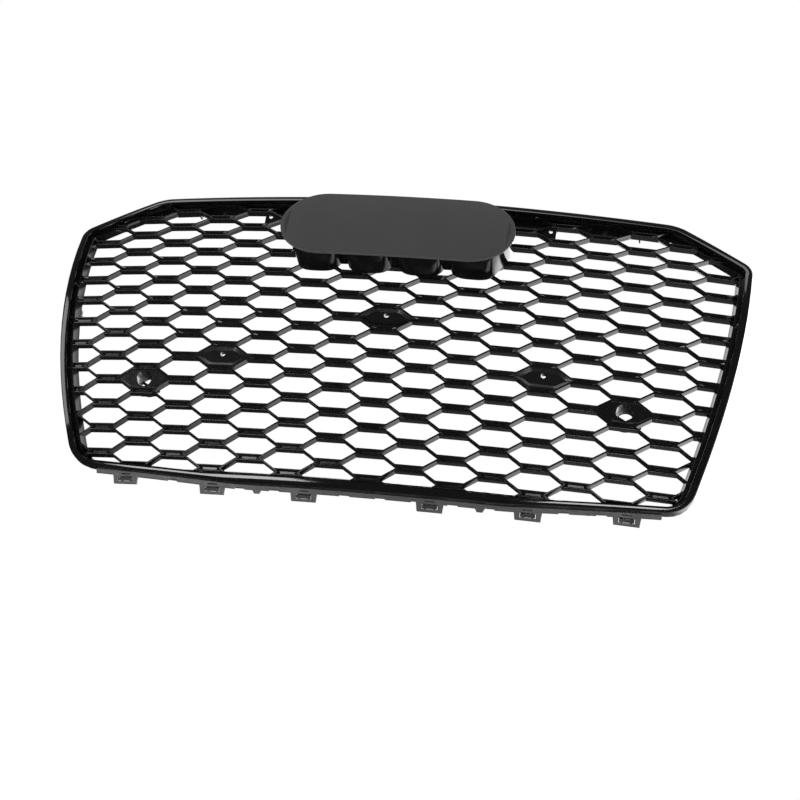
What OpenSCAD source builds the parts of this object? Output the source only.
/* [Outline] */
// Greatest width, just below the upper corners
grille_w = 988; // [960:1:1010]
// Height of the top edge above the middle of the mesh
top_z = 237; // [235:1:240]
// Height of the bottom edge below the middle of the mesh
bottom_z = 224; // [222:1:226]
// Distance from the centre line to the corner where the top edge turns down
shoulder_x = 384; // [376:1:390]
// Height at which the sloping shoulder meets the side
shoulder_z = 160; // [156:1:164]
// Distance from the centre line to the lower corner
foot_x = 434; // [425:1:440]
// Radius of the lower corners
foot_r = 42; // [36:1:50]

/* [Curvature] */
// Radius of the bow across the car
bow_r = 2750; // [2500:10:3200]
// Radius of the sweep from top to bottom
sweep_r = 494; // [480:1:520]

/* [Mesh] */
// Spacing of the columns of cells
column_pitch = 56.6; // [56:0.1:57]
// Spacing of the cells in a column
row_pitch = 35.3; // [35:0.1:35.6]
// Length of the flat side of a cell's centre line
cell_flat = 29; // [28:0.1:31]
// Width of the bars between cells one above the other
bar_h = 9.6; // [9:0.1:11]
// Width of the slanting bars
bar_slant = 2.6; // [2.2:0.1:3.5]
// Depth of the mesh
mesh_t = 12; // [11.5:0.5:14]
// Depth at which a closed cell has its floor
floor_depth = 9.5; // [8.5:0.5:10]
// Depth at which a sensor cell has its floor
sensor_floor_depth = 4; // [3:0.5:6]

/* [Frame] */
// Width of the glossy face of the bezel
bezel_w = 14; // [13:0.5:15]
// How far the bezel stands in front of the mesh
bezel_proud = 8; // [7:0.5:9]
// Wall thickness of the bezel
bezel_t = 3; // [2.5:0.1:3.5]
// Depth of the carrier frame behind the front of the mesh
carrier_depth = 17; // [16:0.5:19]

/* [Fixings] */
// Distance between the two upper screw ears
ear_spacing = 414; // [410:1:418]
// Height of the ears above the middle of the mesh
ear_z = 194; // [192:1:195]
// Radius of the hole in an ear
ear_hole_r = 2.75; // [2.25:0.25:3]
// Radius of the number-plate holes
plate_hole_r = 3.5; // [3:0.25:4]
// Height of the number-plate holes above the middles of their cells
plate_hole_rise = 4; // [0:0.5:5]
// Radius of the parking sensor holes
sensor_hole_r = 12; // [11:0.5:12.5]
// Distance to which the clip tabs reach below the bottom edge
tab_drop = 15; // [14:0.5:17]

/* [Emblem] */
// Width of the blank emblem plate
emblem_w = 336; // [330:1:340]
// Height of the blank emblem plate
emblem_h = 107; // [104:1:110]
// Height of the plate's middle above the middle of the mesh
emblem_z = 147.5; // [146:0.5:149]
// How far the middle of the plate's front stands in front of the mesh's foremost point
emblem_proud = 27; // [25:1:29]
// How far the plate leans back
emblem_lean = 10; // [8:0.5:12]

/* [Hidden] */
gloss_black = [0.05, 0.05, 0.055];
satin_black = [0.1, 0.1, 0.105];
satin_grey = [0.2, 0.2, 0.21];
steel = [0.55, 0.56, 0.58];

// The origin of the part is midway between the two ear holes, on the front of the ears
ear_t = 3;
ear_x = ear_spacing / 2;
ear_y = 52;

// ---- The curved front of the mesh: Y as a function of X and Z, back mm behind it ----
function arc_x(s) = bow_r * sin(s / bow_r * 180 / PI);
function arc_z(s) = sweep_r * sin(s / sweep_r * 180 / PI);
function ring_r(z, back) = bow_r - sweep_r + sqrt(pow(sweep_r - back, 2) - z * z);
function face_y(x, z, back = 0) = bow_r - sqrt(pow(ring_r(z, back), 2) - x * x);
function slope_x(z) = asin(z / sweep_r);
function slope_z(x) = asin(x / bow_r);

// The space between two surfaces parallel to the front of the mesh
reach = 12;
module shell(front, back) {
  translate([0, bow_r, 0])
    rotate([0, 0, -90 - reach])
      rotate_extrude(angle = 2 * reach, $fn = 720)
        intersection() {
          translate([bow_r - sweep_r, 0])
            difference() {
              circle(r = sweep_r - front, $fn = 180);
              circle(r = sweep_r - back, $fn = 180);
            }
          translate([bow_r - sweep_r / 2, -270])
            square([sweep_r, 540]);
        }
}

// A flat outline drawn in X and Z, given depth along Y
module along_y(front, back) {
  translate([0, back, 0])
    rotate([90, 0, 0])
      linear_extrude(height = back - front)
        children();
}

module curved(front, back) {
  intersection() {
    along_y(-60, 180) children();
    shell(front, back);
  }
}

// Places children on the curved surface, tangent to it, with Y pointing back
module on_surface(x, z, back) {
  translate([x, face_y(x, z, back), z])
    rotate([-slope_x(z), 0, slope_z(x)])
      children();
}

module both_sides() {
  children();
  mirror([1, 0, 0]) children();
}

module placed() {
  translate([0, -ear_y, -ear_z]) children();
}

// ---- The outline: corners of the right half with their radii, clockwise from the top ----
half_w = grille_w / 2;
crown_drop = 9.5;
foot_z = 209;
foot_flat_x = 190;
side_z = -10;
right_half = [
  [shoulder_x, top_z - crown_drop, 60],
  [half_w, shoulder_z, 24],
  [half_w, side_z, 1050],
  [foot_x, -foot_z, foot_r],
  [foot_flat_x, -bottom_z, 500]
];
corner_count = 2 * len(right_half) + 1;
outline = concat(
  [[0, top_z, 2400]],
  right_half,
  [for (i = [len(right_half) - 1:-1:0]) [-right_half[i][0], right_half[i][1], right_half[i][2]]]
);

function flat(p) = [p[0], p[1]];
function unit(v) = v / norm(v);
function inward(a, b) = let (d = unit(flat(b) - flat(a))) [d[1], -d[0]];
function at(list, i) = list[(i + len(list)) % len(list)];

// Distance by which an edge moves inwards: the flat bottom edge, the two beside it, or any other
function edge_inset(i, side, bottom, foot) = i == 5 ? bottom : i == 4 || i == 6 ? foot : side;

// Corners of the outline moved inwards, and their smaller radii
function inset(side, bottom, foot) = [
  for (i = [0:corner_count - 1])
    let (
      n1 = inward(at(outline, i - 1), outline[i]),
      n2 = inward(outline[i], at(outline, i + 1)),
      d1 = edge_inset((i + corner_count - 1) % corner_count, side, bottom, foot),
      d2 = edge_inset(i, side, bottom, foot),
      cross = n1[0] * n2[1] - n1[1] * n2[0],
      q = [(d1 * n2[1] - d2 * n1[1]) / cross, (n1[0] * d2 - n2[0] * d1) / cross]
    )
    concat(flat(outline[i]) + q, max(outline[i][2] - (d1 + d2) / 2, 4))
];

// Corners turned into arcs
arc_steps = 5;
function rounded(list) = [
  for (i = [0:len(list) - 1])
    let (
      p = flat(list[i]),
      r = list[i][2],
      n1 = inward(at(list, i - 1), p),
      n2 = inward(p, at(list, i + 1)),
      mid = unit(n1 + n2),
      centre = p + mid * r / (mid * n1),
      a1 = atan2(-n1[1], -n1[0]),
      turn = acos(min(1, n1 * n2))
    )
    for (j = [0:arc_steps])
      let (a = a1 - turn * j / arc_steps)
      centre + r * [cos(a), sin(a)]
];

// The outline moved inwards by a list of distances: sides and top, flat bottom, beside the bottom
module inside(d) {
  polygon(rounded(inset(d[0], d[1], d[2])));
}

module band(outer, inner) {
  difference() {
    inside(outer);
    inside(inner);
  }
}

function all(d) = [d, d, d];

// ---- The cells ----
middle_row = 5.5;
half_point = column_pitch - cell_flat / 2;
lean_run = half_point - cell_flat / 2;
lean_len = norm([lean_run, row_pitch / 2]);

function is_odd(c) = abs(c) % 2 == 1;
function cell_s(c, k) = [c * column_pitch, (k - middle_row) * row_pitch];
function cell_x(c) = arc_x(c * column_pitch);
function cell_z(k) = arc_z((k - middle_row) * row_pitch);
function wrap(p) = [arc_x(p[0]), arc_z(p[1])];
function cell(c, k) =
  let (
    s = cell_s(c, k),
    h = (row_pitch - bar_h) / 2,
    b = half_point - bar_slant / 2 * lean_len / (row_pitch / 2),
    a = b - lean_run * h / (row_pitch / 2),
    shape = [[-b, 0], [-a, h], [a, h], [b, 0], [a, -h], [-a, -h]]
  )
  [for (p = shape) wrap(s + p)];

// Column and row of each closed cell: number plate, parking sensors, emblem fixings, beside the emblem
plate_cells = [[0, 6], [-4, 4], [4, 4]];
sensor_cells = [[-6, 3], [6, 3]];
emblem_cells = [[-2, 9], [2, 9], [-2, 11], [2, 11]];
top_cells = [[-5, 11.5], [5, 11.5]];
beside_cells = [[-3, 11.5], [3, 11.5]];
deep_cells = concat(plate_cells, emblem_cells, top_cells, beside_cells);
closed_cells = concat(deep_cells, sensor_cells);
function is_closed(c, k) = len([for (p = closed_cells) if (p == [c, k]) p]) > 0;

open_cells = [
  for (c = [-8:8])
    for (k = [-1:11])
      let (row = is_odd(c) ? k + 0.5 : k)
      if (!is_closed(c, row)) cell(c, row)
];

module cells(list) {
  polygon([for (c = list) each c], [for (i = [0:len(list) - 1]) [for (j = [0:5]) 6 * i + j]]);
}

// ---- Screws round the frame ----
screw_r = 1.8;
screw_tip = -4;
screw_head_r = 3.2;
screw_head_t = 2.4;
screw_spots = [[70, 226], [300, 220.4], [440, 181.6], [479, 60], [461, -75], [30, -214.8], [140, -214.8]];

module screw(x, z, tip, seat) {
  translate([x, face_y(x, z) + seat, z])
    rotate([90, 0, 0]) {
      cylinder(r = screw_r, h = seat - tip, $fn = 32);
      translate([0, 0, -screw_head_t])
        difference() {
          cylinder(r = screw_head_r, h = screw_head_t, $fn = 32);
          translate([0, 0, -0.2])
            cylinder(r = 1.5, h = 1.7, $fn = 6);
        }
    }
}

module drill(x, z, r, front, back) {
  y = face_y(x, z);
  translate([x, y + back, z])
    rotate([90, 0, 0])
      cylinder(r = r, h = back - front, $fn = 32);
}

// ---- Pieces ----
bezel_back = 2;
bezel_inner = [bezel_w, bezel_w, 10];
bezel_lip = bezel_inner - all(2.5);
bezel_crest = bezel_inner - all(3);
module bezel() {
  color(gloss_black)
    placed()
      difference() {
        union() {
          curved(-3, bezel_back) band(all(0), all(bezel_t));
          curved(-6, -bezel_t) band(all(1.5), bezel_inner);
          curved(-bezel_proud, -bezel_proud + bezel_t) band(all(3.5), bezel_crest);
          curved(-6, -0.3) band(bezel_lip, bezel_inner);
          intersection() {
            both_sides()
              for (p = screw_spots) drill(p[0], p[1], 3.4, -8, 4);
            shell(-5, -0.3);
          }
        }
        both_sides()
          for (p = screw_spots) drill(p[0], p[1], screw_r, screw_tip, 6);
      }
}

mesh_border = [23, 19.5, 12.5];
module honeycomb() {
  color(gloss_black)
    placed()
      difference() {
        union() {
          curved(0, mesh_t)
            difference() {
              inside(all(4.5));
              intersection() {
                inside(mesh_border);
                cells(open_cells);
              }
            }
          both_sides()
            translate([ear_x - 17, ear_y, ear_z - 8])
              cube([25, ear_t, 22]);
        }
        intersection() {
          along_y(-20, 100) cells([for (p = deep_cells) cell(p[0], p[1])]);
          shell(-2, floor_depth);
        }
        intersection() {
          along_y(-20, 100) cells([for (p = sensor_cells) cell(p[0], p[1])]);
          shell(-2, sensor_floor_depth);
        }
        both_sides() {
          for (p = screw_spots) drill(p[0], p[1], screw_r + 0.2, -3, 20);
          drill(ear_x, ear_z, ear_hole_r, 0, 20);
        }
        for (p = plate_cells) drill(cell_x(p[0]), cell_z(p[1]) + plate_hole_rise, plate_hole_r, -3, 20);
        for (p = sensor_cells) drill(cell_x(p[0]), cell_z(p[1]), sensor_hole_r, -6, 30);
        for (p = emblem_cells) drill(cell_x(p[0]), cell_z(p[1]), screw_r + 0.2, -3, 24);
        for (p = top_cells)
          translate([cell_x(p[0]) - 3, 40, cell_z(p[1]) - 3])
            cube([6, 50, 6]);
        for (p = beside_cells)
          translate([cell_x(p[0]) - 12, 40, cell_z(p[1]) - 11.5])
            cube([24, 50, 3.5]);
      }
}

// Rear flange behind the mesh border, with an outer wall that the bezel's edge closes
wall_inset = 3.4;
wall_t = 2;
flange_inner = [20, 16, 9.5];
module carrier_frame() {
  color(satin_black)
    placed()
      difference() {
        union() {
          curved(mesh_t + 0.2, mesh_t + 3) band(all(wall_inset), flange_inner);
          curved(bezel_back + 0.5, carrier_depth) band(all(wall_inset), all(wall_inset + wall_t));
        }
        intersection() {
          along_y(-60, 180) inside(all(4.3));
          shell(-1, mesh_t + 0.2);
        }
        both_sides()
          for (p = screw_spots) drill(p[0], p[1], screw_r + 0.2, 5, 24);
      }
}

// Stiffener along the top, behind the carrier frame: a strip, a web and ribs across
rail_x = 372;
rib_pitch = 60;
module top_rail() {
  color(satin_black)
    placed()
      difference() {
        union() {
          intersection() {
            curved(mesh_t + 3.2, mesh_t + 5.7) band(all(4), all(18));
            along_y(-60, 180) translate([-rail_x, 150]) square([2 * rail_x, 120]);
          }
          intersection() {
            curved(mesh_t + 3.2, mesh_t + 22) band(all(6), all(8.5));
            along_y(-60, 180) translate([-rail_x, 150]) square([2 * rail_x, 120]);
          }
          for (x = [-5.5 * rib_pitch:rib_pitch:5.5 * rib_pitch])
            intersection() {
              along_y(-60, 180) translate([x - 1, 200]) square([2, 60]);
              curved(mesh_t + 3.2, mesh_t + 20) band(all(6), all(17));
            }
        }
        both_sides()
          for (p = screw_spots) drill(p[0], p[1], 4.6, 5, 40);
      }
}

tab_spots = [88, 221, 352.5];
tab_root_w = 40;
tab_tip_w = 35;
window_w = 22;
window_h = 6;
window_rise = 3;
slot_w = 14;
slot_h = 1.5;
slot_drop = 3.6;
rail_x_end = 398;
rail_drop = 5;
foot_slope = (bottom_z - foot_z) / (foot_x - foot_flat_x);
function edge_z(x) = -bottom_z + max(0, abs(x) - foot_flat_x) * foot_slope;

module tab_outline(x) {
  z = edge_z(x);
  polygon([
    [x - tab_root_w / 2, z + 1],
    [x + tab_root_w / 2, z + 1],
    [x + tab_tip_w / 2, z - tab_drop],
    [x - tab_tip_w / 2, z - tab_drop]
  ]);
}

// The stretch of the bottom that the rail runs along
module rail_stretch() {
  translate([-rail_x_end, -bottom_z - 36])
    square([2 * rail_x_end, 70]);
}

module lower_strip() {
  intersection() {
    band(all(-rail_drop), all(2.8));
    rail_stretch();
  }
}

notch_w = 14;
hook_x = 156;
module rail_outline() {
  difference() {
    lower_strip();
    for (x = [-288:50:312])
      translate([x, edge_z(x + notch_w / 2) - rail_drop - 2])
        square([notch_w, 4]);
  }
  both_sides()
    translate([hook_x, -bottom_z])
      polygon([[-8, -3], [8, -3], [4, -9], [-4, -9]]);
  for (x = tab_spots)
    both_sides() tab_outline(x);
}

rail_screw_spots = [-300, -150, 0, 150, 300];
module lower_rail() {
  color(satin_grey)
    placed()
      difference() {
        union() {
          curved(bezel_back + 0.3, bezel_back + 3) rail_outline();
          intersection() {
            curved(bezel_back + 0.3, carrier_depth) band(all(0.3), all(3));
            along_y(-60, 180) rail_stretch();
          }
        }
        for (x = tab_spots)
          both_sides()
            along_y(-60, 180)
              translate([x, edge_z(x)]) {
                translate([-window_w / 2, -tab_drop + window_rise])
                  square([window_w, window_h]);
                translate([-slot_w / 2, -slot_drop])
                  square([slot_w, slot_h]);
              }
        for (x = rail_screw_spots) rail_drill(x, screw_r + 0.2, -6, 10);
      }
}

// An upright cylinder through the shelf of the lower rail
module rail_drill(x, r, low, high) {
  translate([x, face_y(x, -bottom_z) + 10, edge_z(x) + low])
    cylinder(r = r, h = high - low, $fn = 32);
}

// Retainer seated in a tab's window: a body with two ramps that snap behind the tab
clip_w = 20.5;
clip_h = 4.6;
ramp_x = 6.5;
ramp_w = 3;
ramp_run = 6;
ramp_rise = 5;
module lower_clip(x) {
  z = edge_z(x) - tab_drop + window_rise + window_h / 2;
  color(satin_black)
    placed()
      on_surface(x, z, bezel_back + 1.6)
        union() {
          translate([-clip_w / 2, -2.5, -clip_h / 2])
            cube([clip_w, 11.5, clip_h]);
          for (side = [-1, 1])
            translate([side * ramp_x, 1.9, 0])
              rotate([90, 0, 90])
                linear_extrude(height = ramp_w, center = true)
                  polygon([[0, -ramp_rise], [ramp_run, -clip_h / 2], [ramp_run, clip_h / 2], [0, ramp_rise]]);
        }
}

module rail_screws() {
  color(steel)
    placed()
      for (x = rail_screw_spots) {
        rail_drill(x, screw_r, -0.2, 6.5);
        rail_drill(x, screw_head_r, -screw_head_t + 0.2, 0);
      }
}

module frame_screws() {
  color(steel)
    placed()
      both_sides()
        for (p = screw_spots) screw(p[0], p[1], screw_tip, mesh_t + 3);
}

// ---- Emblem: its own frame is tilted back, Y pointing into the car from the plate's front ----
module emblem_frame() {
  translate([0, -emblem_proud, emblem_z])
    rotate([-emblem_lean, 0, 0])
      children();
}

// A plate whose ends are all but half round
module stadium(w, h) {
  r = h / 2 - 0.5;
  corners = [[w / 2, h / 2, r], [w / 2, -h / 2, r], [-w / 2, -h / 2, r], [-w / 2, h / 2, r]];
  polygon(rounded(corners));
}

plate_t = 4;
tape_t = 1;
rim_t = 4;
lobe_r = 37;
lobe_pitch = 74;
lobe_z = 130;
web_z = 102;
web_h = 20;
body_z = 147.5;
body_w = 322;
body_h = 97;
base_wall = 3;

// Outline of the stand: a rounded body with a wavy lower edge of four lobes joined by a web
module stand(shrink) {
  for (i = [-1.5, -0.5, 0.5, 1.5])
    translate([i * lobe_pitch, lobe_z])
      circle(r = lobe_r - shrink, $fn = 64);
  translate([0, body_z])
    stadium(body_w - 2 * shrink, body_h - 2 * shrink);
  half_web = 1.5 * lobe_pitch;
  translate([-half_web, web_z + shrink])
    square([2 * half_web, web_h]);
}

// Everything between the back of the tape and the front of the mesh
room_w = 400;
room_t = 200;
room_h = 300;
module behind_plate() {
  intersection() {
    children();
    shell(-80, -0.3);
    emblem_frame()
      translate([-room_w / 2, plate_t + tape_t, -room_h / 2])
        cube([room_w, room_t, room_h]);
  }
}

module emblem_base() {
  color(gloss_black)
    placed()
      difference() {
        union() {
          emblem_frame()
            along_y(plate_t + tape_t, plate_t + tape_t + rim_t) stadium(emblem_w - 6, emblem_h - 6);
          behind_plate()
            along_y(-60, 60)
              difference() {
                stand(0);
                stand(base_wall);
              }
          behind_plate()
            for (p = emblem_cells) drill(cell_x(p[0]), cell_z(p[1]), 6, -60, 4);
        }
        for (p = emblem_cells) drill(cell_x(p[0]), cell_z(p[1]), screw_r, -16, 4);
      }
}

// Distance of the tape from the plate's edge, and the width of the tape
tape_inset = 6;
tape_w = 16;
module emblem_tape() {
  color("dimgray")
    placed()
      emblem_frame()
        along_y(plate_t, plate_t + tape_t)
          difference() {
            stadium(emblem_w - 2 * tape_inset, emblem_h - 2 * tape_inset);
            stadium(emblem_w - 2 * (tape_inset + tape_w), emblem_h - 2 * (tape_inset + tape_w));
          }
}

module emblem_plate() {
  color(satin_grey)
    placed()
      emblem_frame() {
        along_y(0.8, plate_t) stadium(emblem_w, emblem_h);
        along_y(0, 1) stadium(emblem_w - 2, emblem_h - 2);
      }
}

module emblem_screws() {
  color(steel)
    placed()
      for (p = emblem_cells) screw(cell_x(p[0]), cell_z(p[1]), -12, mesh_t);
}

// ---- Parking sensor holders, behind the two sensor cells ----
sensor_x = cell_x(6);
sensor_z = cell_z(3);
holder_w = 46;
holder_h = 30;
holder_t = 2.5;
tongue_w = 10;
tongue_l = 6;
holder_wall = 2.4;
holder_front = mesh_t + 0.3;
bore_back = face_y(sensor_x, sensor_z) + 34;
stop_t = 2.5;
stop_arm_w = 3.5;
tube_r = sensor_hole_r + holder_wall;
module sensor_spot() {
  translate([sensor_x, sensor_z]) children();
}

// Behind the end of the bore the tube is wider inside and holds a stop with three arms
module sensor_holder() {
  color(satin_black)
    placed() {
      difference() {
        union() {
          curved(holder_front, holder_front + holder_t)
            sensor_spot() {
              square([holder_w, holder_h], center = true);
              translate([-tongue_w / 2, -holder_h / 2 - tongue_l])
                square([tongue_w, tongue_l + 1]);
            }
          intersection() {
            along_y(-60, bore_back) sensor_spot() circle(r = tube_r, $fn = 64);
            shell(holder_front, 80);
          }
        }
        along_y(-60, bore_back + 1) sensor_spot() circle(r = sensor_hole_r, $fn = 64);
      }
      along_y(bore_back, bore_back + stop_t)
        sensor_spot() {
          difference() {
            circle(r = tube_r, $fn = 64);
            circle(r = tube_r - 1, $fn = 64);
          }
          intersection() {
            circle(r = tube_r - 0.5, $fn = 64);
            for (a = [30, 150, 270])
              rotate(a)
                translate([0, -stop_arm_w / 2])
                  square([tube_r, stop_arm_w]);
          }
        }
    }
}

// Retaining clip round the holder, with two arms that press on the sensor's rim
spring_gap = 0.3;
module sensor_spring() {
  r = tube_r + spring_gap;
  color(satin_black)
    placed() {
      curved(holder_front + holder_t + 0.3, holder_front + holder_t + 3.3)
        sensor_spot()
          difference() {
            circle(r = r + 2, $fn = 64);
            circle(r = r, $fn = 64);
          }
      curved(holder_front + holder_t + 0.3, mesh_t + 20)
        sensor_spot()
          for (side = [-1, 1])
            translate([side * (r + 1) - 0.9, -2.5])
              square([1.8, 5]);
    }
}

// Locating pins on the rear flange, one on each side
locator_z = 20;
locator_r = 4;
locator_len = 24;
module side_locator() {
  x = half_w - 22;
  y = face_y(x, locator_z, mesh_t + 3);
  color(satin_black)
    placed()
      translate([x, y, locator_z]) {
        along_y(0, 4) circle(r = 8, $fn = 48);
        along_y(0, locator_len) circle(r = locator_r, $fn = 48);
      }
}

bezel();
honeycomb();
carrier_frame();
top_rail();
lower_rail();
lower_clip(-tab_spots[2]);  // lower_clip_1
lower_clip(-tab_spots[1]);  // lower_clip_2
lower_clip(-tab_spots[0]);  // lower_clip_3
lower_clip(tab_spots[0]);  // lower_clip_4
lower_clip(tab_spots[1]);  // lower_clip_5
lower_clip(tab_spots[2]);  // lower_clip_6
emblem_base();
emblem_tape();
emblem_plate();
emblem_screws();
mirror([1, 0, 0]) sensor_holder();  // sensor_holder_left
sensor_holder();  // sensor_holder_right
mirror([1, 0, 0]) sensor_spring();  // sensor_spring_left
sensor_spring();  // sensor_spring_right
mirror([1, 0, 0]) side_locator();  // side_locator_left
side_locator();  // side_locator_right
frame_screws();
rail_screws();
